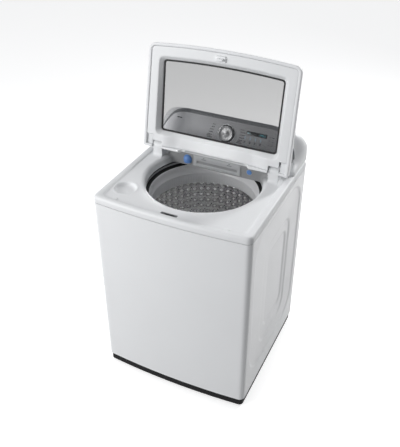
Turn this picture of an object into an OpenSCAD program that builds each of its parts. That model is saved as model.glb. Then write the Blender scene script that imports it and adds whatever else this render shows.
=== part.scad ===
// Top load washing machine with a glass lid, a water nozzle and a rear console.
// Z = 0 is the floor, X runs left to right, and -Y is the front.

/* [Cabinet] */
// Width of the cabinet
cabinet_w = 686; // [680:1:700]
// Sheet thickness of the cabinet
sheet_t = 1.2; // [0.8:0.1:1.6]
// Height of the line between cabinet and top cover
part_z = 898; // [890:1:900]
// Depth of each step pressed into the side walls
emboss = 1.5; // [1:0.5:2]

/* [Top] */
// Height of the lip that the lid rests on
lip_z = 929; // [928:0.5:930]
// Depth of the deck below the lip
deck_drop = 5; // [3:1:6]
// Radius of the tub opening
mouth_r = 246; // [240:1:247]

/* [Lid] */
// Opening angle of the lid
lid_open = 101.3; // [98:0.1:103]
// Half width of the lid
lid_hw = 329; // [326:1:330]
// Thickness of the lid glass
glass_t = 4; // [3:0.5:4]

/* [Drum] */
// Outer radius of the wash basket
basket_r = 262; // [258:1:264]
// Outer radius of the outer tub
tub_r = 284; // [282:1:286]

/* [Hidden] */
$fn = 64;
e = 0.01;

half_w = cabinet_w / 2;
front_y = -339;
rear_y = 318.5;
bow_r = 3469;
bow_cy = front_y + bow_r;
deck_z = lip_z - deck_drop;
hinge_y = 115;
hinge_z = 965;
skirt_z = lip_z + 1;
wall_y = 130;
pin_r = 5;
foot_x = 290;
foot_yf = -270;
foot_yr = 268;
rod_x = 268;
rod_y = 248;
lean = 22.65;
slope_len = 137.6;
dial_v = 73;
pump_x = 120;
pump_y = -170;
white = "gainsboro";
steel = "silver";

function arc(cx, cy, r, a0, a1, n) =
    [for (i = [0:n]) [cx + r * cos(a0 + (a1 - a0) * i / n), cy + r * sin(a0 + (a1 - a0) * i / n)]];

// Plan outline: bowed front, corner radius rc at the front and rr at the rear.
function plan(hw, yf, rc, yr, rr, nf = 24, nc = 8) =
    let (
        big = bow_cy - yf,
        at = asin((hw - rc) / (big - rc)),
        yc = bow_cy - sqrt(pow(big - rc, 2) - pow(hw - rc, 2))
    )
    concat(
        arc(0, bow_cy, big, 270 - at, 270 + at, nf),
        [for (p = [1:nc]) arc(hw - rc, yc, rc, 270 + at, 360, nc)[p]],
        arc(hw - rr, yr - rr, rr, 0, 90, 4),
        arc(-hw + rr, yr - rr, rr, 90, 180, 4),
        [for (p = [0:nc - 1]) arc(-hw + rc, yc, rc, 180, 270 - at, nc)[p]]
    );

function body_plan(d) = plan(half_w - d, front_y + d, 25 - d, rear_y - d, max(8 - d, 1));

function rrect_pts(w, h, r, n = 8) = concat(
    arc(w / 2 - r, h / 2 - r, r, 0, 90, n), arc(-w / 2 + r, h / 2 - r, r, 90, 180, n),
    arc(-w / 2 + r, -h / 2 + r, r, 180, 270, n), arc(w / 2 - r, -h / 2 + r, r, 270, 360, n));

module rrect(w, h, r) { polygon(rrect_pts(w, h, r)); }

// Solid between two outlines that have the same number of points.
module loft(a, za, b, zb) {
    n = len(a);
    polyhedron(
        points = concat([for (p = a) [p[0], p[1], za]], [for (p = b) [p[0], p[1], zb]]),
        faces = concat(
            [[for (i = [0:n - 1]) i]],
            [[for (i = [n - 1:-1:0]) n + i]],
            [for (i = [0:n - 1]) [i, n + i, (i + 1) % n]],
            [for (i = [0:n - 1]) [(i + 1) % n, n + i, n + (i + 1) % n]]
        )
    );
}

// Prism along X from a list of [y, z] points.
module along_x(x0, x1, pts) {
    translate([x0, 0, 0]) rotate([90, 0, 90]) linear_extrude(x1 - x0) polygon(pts);
}

module box(x0, x1, y0, y1, z0, z1) {
    translate([x0, y0, z0]) cube([x1 - x0, y1 - y0, z1 - z0]);
}

module tube(r_out, r_in, z0, z1) {
    difference() {
        translate([0, 0, z0]) cylinder(r = r_out, h = z1 - z0);
        translate([0, 0, z0 - 1]) cylinder(r = r_in, h = z1 - z0 + 2);
    }
}

module cyl_x(x0, x1, r) { translate([x0, 0, 0]) rotate([0, 90, 0]) cylinder(r = r, h = x1 - x0); }
module cyl_y(y0, y1, r) { translate([0, y0, 0]) rotate([-90, 0, 0]) cylinder(r = r, h = y1 - y0); }

module at_feet() {
    for (sx = [-1, 1]) {
        translate([sx * foot_x, foot_yf, 0]) children();
        translate([sx * foot_x, foot_yr, 0]) children();
    }
}

module at_rods() {
    for (sx = [-1, 1], sy = [-1, 1]) translate([sx * rod_x, sy * rod_y, 0]) children();
}

// ---------- cabinet ----------

module base_frame() {
    color("#1c1d1f") difference() {
        union() {
            difference() {
                translate([0, 0, 12]) linear_extrude(39) polygon(body_plan(6));
                translate([0, 0, 11]) linear_extrude(37) polygon(body_plan(8.5));
                translate([0, 0, 40]) linear_extrude(12) rrect(500, 470, 20);
            }
            box(-255, 255, pump_y - 60, pump_y + 60, 48, 51);
            at_feet() translate([0, 0, 24]) cylinder(r = 17, h = 26);
        }
        at_feet() translate([0, 0, 10]) cylinder(r = 5.4, h = 50);
    }
}

// Right-hand outline number k of the stepped pressing, grown by g.
module press_outline(k, g) {
    cy = [4, 4, 15][k];
    cz = [507, 487, 491][k];
    w = [544, 316, 232][k];
    h = [742, 550, 422][k];
    r = [120, 80, 55][k];
    translate([cy, cz]) rrect(w + 2 * g, h + 2 * g, r + g);
}

module press_slab(x0, x1, k, g) {
    translate([x0, 0, 0]) rotate([90, 0, 90]) linear_extrude(x1 - x0) press_outline(k, g);
}

module cabinet_wrap() {
    zt = part_z;
    color(white) difference() {
        union() {
            difference() {
                translate([0, 0, 51]) linear_extrude(zt - 51)
                    polygon(plan(half_w, front_y, 25, 317.3, 8));
                translate([0, 0, 50]) linear_extrude(zt - 49)
                    polygon(plan(half_w - sheet_t, front_y + sheet_t, 23.8, 317.3 - sheet_t, 6.8));
                box(-322, 322, 300, 330, 50, zt + 1);
            }
            for (z = [51, zt - sheet_t]) difference() {
                translate([0, 0, z]) linear_extrude(sheet_t)
                    polygon(plan(half_w - 0.5, front_y + 0.5, 24.5, 316.8, 7.5));
                translate([0, 0, z - 1]) linear_extrude(4)
                    polygon(plan(half_w - 15, front_y + 15, 10, 330, 2));
                box(-350, 350, 300, 330, z - 1, z + 4);
            }
            for (s = [0, 1]) mirror([s, 0, 0]) for (k = [0:2])
                press_slab(half_w - sheet_t - (k + 1) * emboss, half_w - 0.6 - k * emboss, k, sheet_t);
        }
        for (s = [0, 1]) mirror([s, 0, 0]) for (k = [0:2])
            press_slab(half_w - (k + 1) * emboss, half_w + 1, k, 0);
    }
}

module rear_panel() {
    color(white) difference() {
        box(-335, 335, 317.3, rear_y, 60, 893);
        translate([-200, 0, 800]) cyl_y(310, 325, 14.5);
        box(-140, 140, 310, 325, 170, 390);
    }
}

module rear_access_cover() {
    color(steel) union() {
        box(-155, 155, rear_y, rear_y + 1.2, 155, 405);
        box(-120, 120, rear_y + 1, rear_y + 4, 190, 370);
    }
}

module corner_braces() {
    color(steel) intersection() {
        for (sx = [0, 1], sy = [0, 1]) mirror([sx, 0, 0]) mirror([0, sy, 0]) {
            yw = sy == 0 ? 315.5 : 297;
            difference() {
                union() {
                    translate([0, 0, 871]) linear_extrude(3)
                        polygon([[340, yw], [340, yw - 150], [300, yw - 150], [215, yw]]);
                    box(337, 340, yw - 150, yw, 871, 896.5);
                    box(215, 340, yw - 3, yw, 871, 896.5);
                }
                translate([rod_x, rod_y, 860]) cylinder(r = 5, h = 20);
            }
        }
        translate([0, 0, 860]) linear_extrude(50)
            polygon(plan(half_w - 3.1, front_y + 3.1, 21.9, 317.3 - 1.6, 6.4));
    }
}

// ---------- top cover and console ----------

module mouth_wall_holes() {
    box(-112, 112, wall_y - 5, wall_y + 10, 893, 944.2);
    translate([-140, 0, 918]) cyl_y(wall_y - 5, wall_y + 10, 13.5);
    translate([150, 0, 921]) cyl_y(wall_y - 5, wall_y + 10, 12);
}

module pedestal_profile() {
    difference() {
        union() {
            cyl_x(247, 290, 24);
            translate([247, -24, deck_z - 1 - hinge_z]) cube([43, 48, hinge_z - deck_z + 1]);
        }
        cyl_x(240, 300, pin_r + 0.08);
    }
}

module top_cover() {
    color(white) difference() {
        union() {
            difference() {
                union() {
                    translate([0, 0, part_z + 1]) linear_extrude(919 - part_z - 1) polygon(body_plan(0));
                    loft(body_plan(0), 919, body_plan(7), lip_z);
                }
                translate([0, 0, part_z]) linear_extrude(deck_z - 4 - part_z) polygon(body_plan(3));
                loft(plan(308, -312, 26, 150, 10), deck_z, plan(313, -316, 31, 155, 15), lip_z + e);
            }
            tube(mouth_r + 3, mouth_r, 890, deck_z - 1);
            difference() {
                translate([0, 0, deck_z - 2]) cylinder(r1 = mouth_r + 3, r2 = mouth_r + 3, h = 1);
                translate([0, 0, deck_z - 3]) cylinder(r = mouth_r, h = 4);
            }
            box(-212, 212, wall_y, wall_y + 3, 890, 944.2);
            box(-242, 242, wall_y, 164.5, deck_z - 4, 947);
            for (s = [0, 1]) mirror([s, 0, 0]) translate([0, hinge_y, hinge_z]) pedestal_profile();
        }
        difference() {
            translate([0, 0, 880]) cylinder(r = mouth_r, h = 60);
            box(-300, 300, wall_y, 400, 870, 960);
        }
        difference() {
            translate([0, 0, deck_z - 10]) cylinder(r1 = mouth_r, r2 = mouth_r + 10.1, h = 10.1);
            box(-300, 300, wall_y, 400, 870, 960);
        }
        difference() {
            box(-213, 213, wall_y + 3, 260, 880, deck_z - 4);
            difference() {
                translate([0, 0, 870]) cylinder(r = 400, h = 80);
                translate([0, 0, 869]) cylinder(r = mouth_r + 3.5, h = 82);
            }
        }
        mouth_wall_holes();
        box(-118, 118, wall_y + 3, 172, 880, 944.2);
        box(-238, 238, wall_y + 3, 161.5, 880, 944.2);
        box(-300, 300, 171, 308, 900, 950);
        // lid latch slot and bleach dish
        translate([-6, -301, deck_z - 8]) linear_extrude(20) rrect(73, 16, 5);
        translate([-255, -205, deck_z - 3]) cylinder(r1 = 40, r2 = 43, h = 3.1);
        translate([-255, -205, deck_z - 10]) cylinder(r = 40, h = 12);
    }
    color(white) difference() {
        translate([-255, -205, deck_z - 18]) cylinder(r = 43, h = 15);
        translate([-255, -205, deck_z - 16]) cylinder(r = 40, h = 20);
    }
}

housing_front = concat(
    [[-337, lip_z], [337, lip_z], [337, 960]],
    arc(249, 1003, 85, 0, 90, 10), arc(-249, 1003, 85, 90, 180, 10), [[-337, 960]]);
housing_side = [[165, lip_z], [165, 946], [170, 952], [203, 958], [256, 1085], [261, 1088], [268, 1087],
    [300, 1066], [325, 1046], [339, 1030], [339, lip_z]];
inner_side = [[168, lip_z - 2], [168, 948], [172, 954], [206, 961], [258, 1081], [262, 1084.5], [267, 1083.5],
    [298, 1063], [323, 1043], [336, 1028], [345, 1028], [345, lip_z - 2]];

module console_housing() {
    color(white) difference() {
        intersection() {
            translate([0, 345, 0]) rotate([90, 0, 0]) linear_extrude(185) polygon(housing_front);
            along_x(-340, 340, housing_side);
        }
        intersection() {
            translate([0, 350, 0]) rotate([90, 0, 0]) linear_extrude(195) polygon(concat(
                [[-334, lip_z - 2], [334, lip_z - 2], [334, 958]],
                arc(249, 1003, 82, 0, 90, 10), arc(-249, 1003, 82, 90, 180, 10), [[-334, 958]]));
            along_x(-340, 340, inner_side);
        }
        on_fascia() translate([0, dial_v, -6]) cylinder(r = 8, h = 10);
        box(-119, 119, 160, 175, lip_z - 2, 941.5);
    }
}

// Places children in the frame of the sloping fascia: X across, Y up the slope, Z outwards.
module on_fascia() { translate([0, 203, 958]) rotate([90 - lean, 0, 0]) children(); }

module console_rear_plate() {
    color("#b8babc") difference() {
        translate([0, 322, 0]) rotate([90, 0, 0]) linear_extrude(2) polygon(concat(
            [[-333, 931], [333, 931], [333, 960]],
            arc(249, 960, 80, 0, 90, 10), arc(-249, 960, 80, 90, 180, 10), [[-333, 960]]));
        for (x = [-210, -150]) translate([x, 0, 962]) cyl_y(315, 330, 14);
        translate([225, 0, 962]) cyl_y(315, 330, 8);
    }
}

fascia_half = [[324, 5], [323, 15], [318, 27], [304, 50], [284, 83], [268, 106], [256, 116], [240, 123],
    [218, 127.5], [195, 129]];
fascia_pts = concat(fascia_half, [for (i = [len(fascia_half) - 1:-1:0]) [-fascia_half[i][0], fascia_half[i][1]]]);

module console_fascia() {
    color("#8d9096") on_fascia() difference() {
        linear_extrude(2) polygon(fascia_pts);
        translate([0, dial_v, -1]) cylinder(r = 8, h = 4);
    }
}

module display_window() {
    color("#15191a") on_fascia() translate([136, 94, 2]) linear_extrude(0.8) rrect(94, 17, 2);
}

module option_keys() {
    color("#8fb3c9") on_fascia() for (i = [0:3])
        translate([86 + 24 * i, 72, 2]) linear_extrude(0.6) rrect(2.4, 13, 1);
}

module control_board() {
    color("#2f5d3a") on_fascia() difference() {
        translate([-60, 22, -16]) cube([260, 92, 2]);
        translate([0, dial_v, -20]) cylinder(r = 18, h = 10);
    }
}

module dial_encoder() {
    color("#303236") on_fascia() difference() {
        translate([-14, dial_v - 14, -14]) cube([28, 28, 9.5]);
        translate([0, dial_v, -15]) cylinder(r = 3.08, h = 20);
    }
}

module dial_bezel() {
    color("#c9ccd0") on_fascia() translate([0, dial_v, 0]) difference() {
        union() {
            translate([0, 0, 2]) cylinder(r = 41, h = 3);
            translate([0, 0, 5]) cylinder(r1 = 41, r2 = 39, h = 2);
        }
        translate([0, 0, 3.5]) cylinder(r = 36.5, h = 6);
        translate([0, 0, 1]) cylinder(r = 8, h = 6);
    }
}

module selector_knob() {
    color("#a9acb1") on_fascia() translate([0, dial_v, 0]) {
        difference() {
            translate([0, 0, 4.2]) cylinder(r1 = 35, r2 = 31, h = 26);
            translate([0, 0, 2]) cylinder(r = 28, h = 23);
        }
        translate([0, 0, 4.2]) cylinder(r = 6, h = 22);
        translate([0, 0, -12]) cylinder(r = 3, h = 20);
    }
}

// ---------- dispenser, nozzle, latch ----------

module dispenser_housing() {
    color("#d4d6d8") difference() {
        box(-117, 117, wall_y + 3.5, 300, 889, 940.5);
        box(-114, 114, wall_y, 297, 892, 938);
        box(40, 60, 220, 240, 880, 900);
    }
}

module detergent_drawer() {
    color("#dcdee0") difference() {
        box(-111, 111, wall_y + 3, 292, 893.5, 932.5);
        box(-108.5, -2, wall_y + 6, 289.5, 896, 940);
        box(2, 108.5, wall_y + 6, 289.5, 896, 940);
    }
}

module drawer_front() {
    color("#dcdee0") along_x(-111.3, 111.3, [
        [wall_y + 2.9, 893.8], [wall_y - 4, 893.8], [wall_y - 6, 896], [wall_y - 6, 905], [wall_y + 1, 907],
        [wall_y + 1, 916], [wall_y - 3, 918], [wall_y - 1, 932], [wall_y, 943.4], [wall_y + 2.9, 943.4]]);
}

module water_nozzle() {
    color("#4a7fc0") translate([-140, wall_y, 918]) difference() {
        union() {
            intersection() {
                sphere(r = 20);
                translate([-25, -30, -15]) cube([50, 29.9, 40]);
            }
            cyl_y(-0.2, 20, 13);
        }
        cyl_y(5, 25, 10);
        translate([-12, -30, -17]) cube([24, 22, 5]);
    }
}

module water_button() {
    color("#3f6fb5") translate([150, 0, 921]) difference() {
        union() {
            cyl_y(wall_y - 4, wall_y + 9, 11.5);
            cyl_y(wall_y + 3.4, wall_y + 6, 13.5);
        }
        cyl_y(wall_y + 1, wall_y + 12, 7);
    }
}

module lid_lock() {
    color("#26282b") difference() {
        box(-50, 40, -322, -288, 896, deck_z - 4.2);
        box(-26, 14, -309, -293, 900, deck_z);
    }
}

module lid_strike() {
    color(white) lid_pose() union() {
        box(-22, 10, -302, -297, 912, skirt_z + 3);
        box(-22, 10, -304.5, -302, 912, 917);
    }
}

module valve(x) {
    translate([x, 0, 962]) difference() {
        union() {
            translate([-20, 275, -22]) cube([40, 44, 52]);
            cyl_y(318, 324, 13.9);
            cyl_y(324, 338, 13.5);
        }
        cyl_y(300, 340, 9);
    }
}

module inlet_valve_hot() { color("#b03a35") valve(-210); }
module inlet_valve_cold() { color("#3b62b0") valve(-150); }

module pressure_sensor() {
    color("#e3e4e4") translate([255, 262, 0]) union() {
        translate([0, 0, 930]) cylinder(r = 24, h = 18);
        translate([0, 0, 912]) cylinder(r = 4, h = 18);
    }
}

module cord_gland() {
    color("#202224") translate([225, 0, 962]) difference() {
        union() {
            cyl_y(312, 320, 12);
            cyl_y(319, 325, 7.8);
            cyl_y(322, 336, 11);
        }
        cyl_y(300, 340, 4.5);
    }
}

// ---------- plumbing ----------

module drain_pump() {
    color("#d9dadb") translate([pump_x, pump_y, 0]) difference() {
        union() {
            translate([-52, -52, 51]) cube([104, 104, 4]);
            translate([0, 0, 55]) cylinder(r = 45, h = 47);
            translate([0, 0, 102]) cylinder(r = 20, h = 48);
            translate([-25, 0, 78]) cyl_y(0, 75, 12);
        }
        translate([0, 0, 62]) cylinder(r = 16, h = 100);
        translate([-25, 0, 78]) cyl_y(20, 80, 9);
    }
}

module drain_bellows() {
    color("#2b2c2e") translate([pump_x, pump_y, 0]) rotate_extrude() polygon(concat(
        [[17.5, 151], [21.5, 151]],
        [for (i = [0:5]) each [[25, 155 + 10 * i], [21.5, 160 + 10 * i]]],
        [[21.5, 217], [17.5, 217]]));
}

module drain_hose() {
    hx = pump_x - 25;
    color("#9a9c9f") translate([hx, 0, 0]) {
        difference() {
            union() {
                translate([0, 0, 78]) cyl_y(-112, 265, 14);
                translate([0, 265, 113]) rotate([0, 90, 0])
                    rotate_extrude(angle = 90) translate([35, 0]) circle(r = 14);
                translate([0, 300, 113]) cylinder(r = 14, h = 650);
            }
            translate([0, 0, 78]) cyl_y(-113, 265, 12.05);
            translate([0, 265, 113]) rotate([0, 90, 0])
                rotate_extrude(angle = 90) translate([35, 0]) circle(r = 12);
            translate([0, 300, 113]) cylinder(r = 12, h = 651);
        }
    }
}

module drain_outlet() {
    hx = pump_x - 25;
    color("#2a2b2d") difference() {
        union() {
            translate([hx, 300, 750]) cylinder(r = 11.8, h = 50);
            translate([0, 300, 800]) cyl_x(-200, hx, 11.8);
            translate([hx, 300, 800]) sphere(r = 11.8);
            translate([-200, 300, 800]) sphere(r = 11.8);
            translate([-200, 0, 800]) cyl_y(300, 338, 11.8);
            translate([-200, 0, 800]) cyl_y(312, 322, 14);
        }
        translate([hx, 300, 749]) cylinder(r = 9, h = 51);
        translate([0, 300, 800]) cyl_x(-200, hx, 9);
        translate([-200, 0, 800]) cyl_y(300, 340, 9);
    }
}

module screw(x, z, y) { translate([x, y, z]) rotate([-90, 0, 0]) cylinder(r = 4.5, h = 2.4, $fn = 24); }

module rear_screws() {
    color(steel) {
        for (x = [-328, 0, 328], z = [72, 880]) screw(x, z, rear_y);
        for (x = [-328, 328], z = [340, 610]) screw(x, z, rear_y);
        for (x = [-147, 147], z = [165, 395]) screw(x, z, rear_y + 1.2);
        for (x = [-300, -100, 100, 300]) screw(x, 942, 322);
    }
}

module lock_nuts() {
    color(steel) at_feet() difference() {
        translate([0, 0, 16]) cylinder(r = 9.8, h = 8, $fn = 6);
        translate([0, 0, 15]) cylinder(r = 5.4, h = 10);
    }
}

module foot(x, y) {
    color("#2a2a2b") translate([x, y, 0]) {
        cylinder(r1 = 19, r2 = 21, h = 3);
        translate([0, 0, 3]) cylinder(r1 = 21, r2 = 14, h = 5);
        translate([0, 0, 8]) cylinder(r = 10.5, h = 6, $fn = 6);
        translate([0, 0, 13]) cylinder(r = 5, h = 50);
    }
}

module foot_front_left() { foot(-foot_x, foot_yf); }
module foot_front_right() { foot(foot_x, foot_yf); }
module foot_rear_left() { foot(-foot_x, foot_yr); }
module foot_rear_right() { foot(foot_x, foot_yr); }

// ---------- suspension ----------

module rod(x, y) {
    color(steel) translate([x, y, 0]) {
        translate([0, 0, 292]) cylinder(r = 3, h = 588);
        translate([0, 0, 296]) cylinder(r = 17, h = 6);
        translate([0, 0, 874]) cylinder(r = 11, h = 6);
    }
}

module rod_front_left() { rod(-rod_x, -rod_y); }
module rod_front_right() { rod(rod_x, -rod_y); }
module rod_rear_left() { rod(-rod_x, rod_y); }
module rod_rear_right() { rod(rod_x, rod_y); }

// Spring drawn as a stack of coils joined by a thin sleeve.
module spring(x, y) {
    color("#6f7378") translate([x, y, 0]) rotate_extrude() polygon(concat(
        [[9, 302.2], [12.6, 302.2]],
        [for (i = [0:8]) each [[14.5, 305 + 10.4 * i], [14.5, 309 + 10.4 * i], [12.6, 311 + 10.4 * i],
            [12.6, 314 + 10.4 * i]]],
        [[12.6, 397.8], [9, 397.8]]));
}

module spring_front_left() { spring(-rod_x, -rod_y); }
module spring_front_right() { spring(rod_x, -rod_y); }
module spring_rear_left() { spring(-rod_x, rod_y); }
module spring_rear_right() { spring(rod_x, rod_y); }

// ---------- tub and drive ----------

module outer_tub() {
    color("#e4e5e5") difference() {
        union() {
            tube(tub_r, tub_r - 3, 236, 868);
            translate([0, 0, 232]) cylinder(r = tub_r, h = 4.01);
            for (sx = [-1, 1], sy = [-1, 1]) rotate([0, 0, atan2(sy * rod_y, sx * rod_x)])
                translate([tub_r - 1.5, -20, 398]) cube([99.5, 40, 12]);
            tube(tub_r + 4, tub_r - 1.5, 640, 652);
            translate([pump_x, pump_y, 217]) cylinder(r = 20, h = 16);
        }
        translate([0, 0, 230]) cylinder(r = 50.5, h = 10);
        translate([pump_x, pump_y, 210]) cylinder(r = 16, h = 30);
        at_rods() translate([0, 0, 390]) cylinder(r = 7, h = 30);
    }
}

module tub_cover() {
    color("#9c9fa2") union() {
        tube(tub_r, 246, 868.2, 872);
        tube(248, 245, 868.2, 879);
    }
}

module bearing_housing() {
    color("#8c9094") difference() {
        union() {
            translate([0, 0, 170]) cylinder(r = 44, h = 62);
            translate([0, 0, 222]) cylinder(r = 125, h = 9.8);
            translate([0, 0, 231]) cylinder(r = 50, h = 9);
        }
        translate([0, 0, 160]) cylinder(r = 20.08, h = 100);
    }
}

module stator() {
    color("#7c5a3a") difference() {
        union() {
            tube(100, 45, 176, 204);
            for (i = [0:11]) rotate([0, 0, 30 * i]) translate([98, -12, 178]) cube([31, 24, 24]);
        }
    }
}

module motor_rotor() {
    color("#3b3e42") {
        tube(142, 137, 156, 212);
        tube(142, 12, 152, 156.01);
        tube(26, 10, 147, 160);
    }
}

module drive_shaft() {
    color(steel) {
        translate([0, 0, 140]) cylinder(r = 10, h = 158);
        translate([0, 0, 140]) cylinder(r = 15, h = 7);
    }
}

module wash_basket() {
    color("#b5b8bb") {
        tube(basket_r, basket_r - 1, 268, 763.8);
        tube(basket_r - 0.9, 228, 762.6, 763.8);
    }
}

module balance_ring() {
    color("#8f9295") rotate_extrude() polygon([
        [231, 764], [262, 764], [264, 766], [264, 860], [261, 864], [233, 864], [230, 861], [228, 850],
        [225, 822], [223.5, 819], [223.5, 812], [226, 806], [230, 768]]);
}

module basket_hub() {
    color("#c9cccf") difference() {
        union() {
            translate([0, 0, 268]) cylinder(r = basket_r - 1.2, h = 5);
            translate([0, 0, 250]) cylinder(r = 60, h = 19);
            for (i = [0:5]) rotate([0, 0, 60 * i]) translate([50, -6, 256]) cube([205, 12, 13]);
            translate([0, 0, 172]) cylinder(r = 20, h = 80);
        }
        translate([0, 0, 160]) cylinder(r = 10.08, h = 130);
    }
}

module pulsator() {
    color("#9a9da0") difference() {
        union() {
            rotate_extrude() polygon([[0, 278], [205, 278], [222, 284], [224, 290], [205, 292],
                [120, 300], [70, 318], [46, 334], [0, 338]]);
            for (i = [0:5]) rotate([0, 0, 60 * i]) translate([40, 0, 0]) rotate([90, 0, 0])
                translate([0, 0, -9]) linear_extrude(18)
                    polygon([[0, 285], [172, 285], [160, 306], [90, 326], [0, 336]]);
        }
        translate([0, 0, 270]) cylinder(r = 10, h = 28);
        rotate_extrude() polygon([[30, 277], [201, 277], [201, 287], [120, 295], [74, 312], [48, 328], [30, 332]]);
    }
}

module pulsator_cap() {
    color("#c4c6c8") translate([0, 0, 338]) cylinder(r1 = 24, r2 = 18, h = 7);
}

// ---------- lid ----------

// Moves the lid from its closed place to the open rest pose.
module lid_pose() {
    translate([0, hinge_y, hinge_z]) rotate([-lid_open, 0, 0]) translate([0, -hinge_y, -hinge_z]) children();
}

top_rise = 2.14;
function top_at(y) = 957 + (y + 310) * tan(top_rise);

// Frame of the sloping lid top: Y runs back from the front of the slope, Z is the outward normal.
module on_top() { translate([0, -310, 957]) rotate([top_rise, 0, 0]) children(); }

function window_pts(g, r) = let (hw = 265.5 + g, bow = 3468) concat(
    arc(0, 40 + bow - g, bow, 270 - asin((hw - r) / bow), 270 + asin((hw - r) / bow), 12),
    [for (p = [1:5]) arc(hw - r, 50 - g + r, r, 275, 360, 5)[p]],
    arc(hw - r, 355 + g - r, r, 0, 90, 5),
    arc(-hw + r, 355 + g - r, r, 90, 180, 5),
    [for (p = [0:4]) arc(-hw + r, 50 - g + r, r, 180, 265, 5)[p]]);

module lid_gaps() {
    for (s = [0, 1]) mirror([s, 0, 0]) {
        box(244.5, 292.5, hinge_y - 27.5, 200, 900, 1000);
    }
}

// Raised centre of the rear edge, which leaves room for the drawer front and the nozzle.
module drawer_gap() {
    loft([[-166, 46], [166, 46], [166, 130], [-166, 130]], skirt_z - 2,
        [[-150, 46], [150, 46], [150, 130], [-150, 130]], 947.5);
    translate([0, 0, 920]) linear_extrude(80) polygon([[-159, 121], [-131, 107.5], [131, 107.5], [159, 121]]);
}

lid_profile = [[-340, skirt_z], [-337, 946], [-330, 953], [-310, 957], [118, top_at(118)],
    [122, top_at(118) - 4], [122, skirt_z]];
lid_profile_in = [[-334.4, skirt_z - 1], [-334.4, 944], [-328, 950.4], [-310, 954.4],
    [116, top_at(118) - 2.8], [119.4, top_at(118) - 6], [119.4, skirt_z - 1]];

module lid_outer_frame() {
    color(white) lid_pose() difference() {
        union() {
            difference() {
                intersection() {
                    translate([0, 0, skirt_z]) linear_extrude(60) polygon(plan(lid_hw, -338, 30, 120, 6));
                    along_x(-340, 340, lid_profile);
                }
                intersection() {
                    translate([0, 0, skirt_z - 1]) linear_extrude(60)
                        polygon(plan(lid_hw - 2.6, -335.4, 27.4, 117.4, 4));
                    along_x(-340, 340, lid_profile_in);
                }
                on_top() translate([0, 0, -12]) linear_extrude(30) polygon(window_pts(8, 16));
                drawer_gap();
            }
            for (s = [0, 1]) mirror([s, 0, 0]) translate([0, hinge_y, hinge_z]) {
                cyl_x(294, lid_hw - 1, 17);
                translate([294, -50, -24]) cube([lid_hw - 295, 50, 16]);
            }
        }
        lid_gaps();
        for (s = [0, 1]) mirror([s, 0, 0]) translate([0, hinge_y, hinge_z]) cyl_x(200, 321, pin_r);
    }
}

module lid_inner_frame() {
    color(white) lid_pose() difference() {
        intersection() {
            translate([0, 0, skirt_z + 3]) linear_extrude(60) polygon(plan(lid_hw - 14, -324, 20, 108, 6));
            along_x(-340, 340, [[-326, skirt_z + 3], [-326, 948], [-310, 954], [110, top_at(110) - 3],
                [110, skirt_z + 3]]);
        }
        // sloping wall down from the window, open to the glass
        on_top() translate([0, 0, -50]) linear_extrude(60) polygon(window_pts(0.3, 14));
        on_top() loft(window_pts(14, 28), -26, window_pts(0.3, 14), -9);
        on_top() translate([0, 0, -5.4]) linear_extrude(20) polygon(window_pts(11, 18));
        // hollow back, open to the outer frame
        difference() {
            translate([0, 0, skirt_z + 5.5]) linear_extrude(60) polygon(plan(lid_hw - 16.5, -321.5, 17.5, 105, 4));
            on_top() translate([0, 0, -40]) linear_extrude(60) polygon(window_pts(17, 20));
            box(-170, 170, 42, 120, 900, 950);
        }
        drawer_gap();
        lid_gaps();
        for (s = [0, 1]) mirror([s, 0, 0]) box(290, 340, 62, 140, 900, 1000);
    }
}

module lid_glass() {
    color("#a9b0b6", 0.5) lid_pose() on_top() translate([0, 0, -1 - glass_t]) linear_extrude(glass_t)
        polygon(window_pts(7.6, 15));
}

module window_seal() {
    color("#121314") lid_pose() on_top() difference() {
        translate([0, 0, -8.4 - 1]) linear_extrude(4.3) polygon(window_pts(0, 14));
        translate([0, 0, -12]) linear_extrude(10) polygon(window_pts(-7, 9));
    }
}

module hinge_pins() {
    color(steel) lid_pose() for (s = [0, 1]) mirror([s, 0, 0])
        translate([0, hinge_y, hinge_z]) cyl_x(248, 320, pin_r);
}

base_frame();
cabinet_wrap();
rear_panel();
rear_access_cover();
corner_braces();
top_cover();
console_housing();
console_rear_plate();
console_fascia();
display_window();
option_keys();
control_board();
dial_encoder();
dial_bezel();
dispenser_housing();
water_nozzle();
lid_lock();
inlet_valve_hot();
inlet_valve_cold();
pressure_sensor();
drain_pump();
drain_hose();
drain_outlet();
cord_gland();
rear_screws();
lock_nuts();
rod_front_left();
rod_front_right();
rod_rear_left();
rod_rear_right();
outer_tub();
tub_cover();
bearing_housing();
stator();
drain_bellows();
spring_front_left();
spring_front_right();
spring_rear_left();
spring_rear_right();
wash_basket();
balance_ring();
basket_hub();
pulsator();
pulsator_cap();
drive_shaft();
motor_rotor();
lid_outer_frame();
lid_inner_frame();
lid_glass();
window_seal();
lid_strike();
hinge_pins();
detergent_drawer();
drawer_front();
water_button();
selector_knob();
foot_front_left();
foot_front_right();
foot_rear_left();
foot_rear_right();
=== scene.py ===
"""Looks of a top load washing machine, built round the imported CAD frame. Lengths in the helpers are in mm."""
import math
import random

import bmesh
import bpy
from mathutils import Matrix, Vector


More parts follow.
